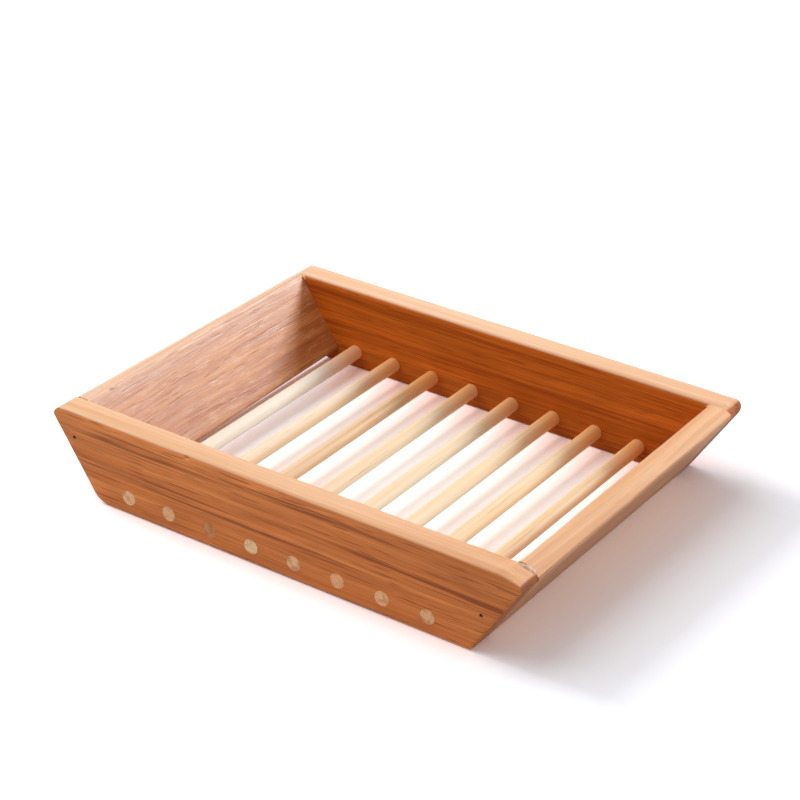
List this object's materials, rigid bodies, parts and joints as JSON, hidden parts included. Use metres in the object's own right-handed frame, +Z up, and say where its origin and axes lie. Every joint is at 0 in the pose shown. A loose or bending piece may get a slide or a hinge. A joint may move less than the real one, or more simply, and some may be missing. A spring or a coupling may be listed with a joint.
{
  "type": "soap dish",
  "caption": "Slatted bamboo soap dish: upright trapezoid side boards, outward-leaning end boards and a row of round dowels that holds the soap up to drain.",
  "frame": {"origin": "middle of the dish's outer box, on the surface that the side boards stand on", "axes": "+X along the dish to its right end as seen from the front, +Y from the front board to the back board, +Z up"},
  "size_m": [0.1273, 0.093, 0.0215],
  "materials": {
    "side_bamboo": "carbonised bamboo, sanded, satin",
    "end_bamboo": "carbonised bamboo, rough sanded, matte",
    "dowel_bamboo": "natural bamboo, smooth, satin",
    "brad_steel": "bright wire, dulled"
  },
  "bodies": {
    "root": {"front_board": "side_bamboo", "back_board": "side_bamboo", "left_end_board": "end_bamboo", "right_end_board": "end_bamboo", "dowel_1": "dowel_bamboo", "dowel_2": "dowel_bamboo", "dowel_3": "dowel_bamboo", "dowel_4": "dowel_bamboo", "dowel_5": "dowel_bamboo", "dowel_6": "dowel_bamboo", "dowel_7": "dowel_bamboo", "dowel_8": "dowel_bamboo", "corner_brads": "brad_steel"}
  },
  "joints": []
}
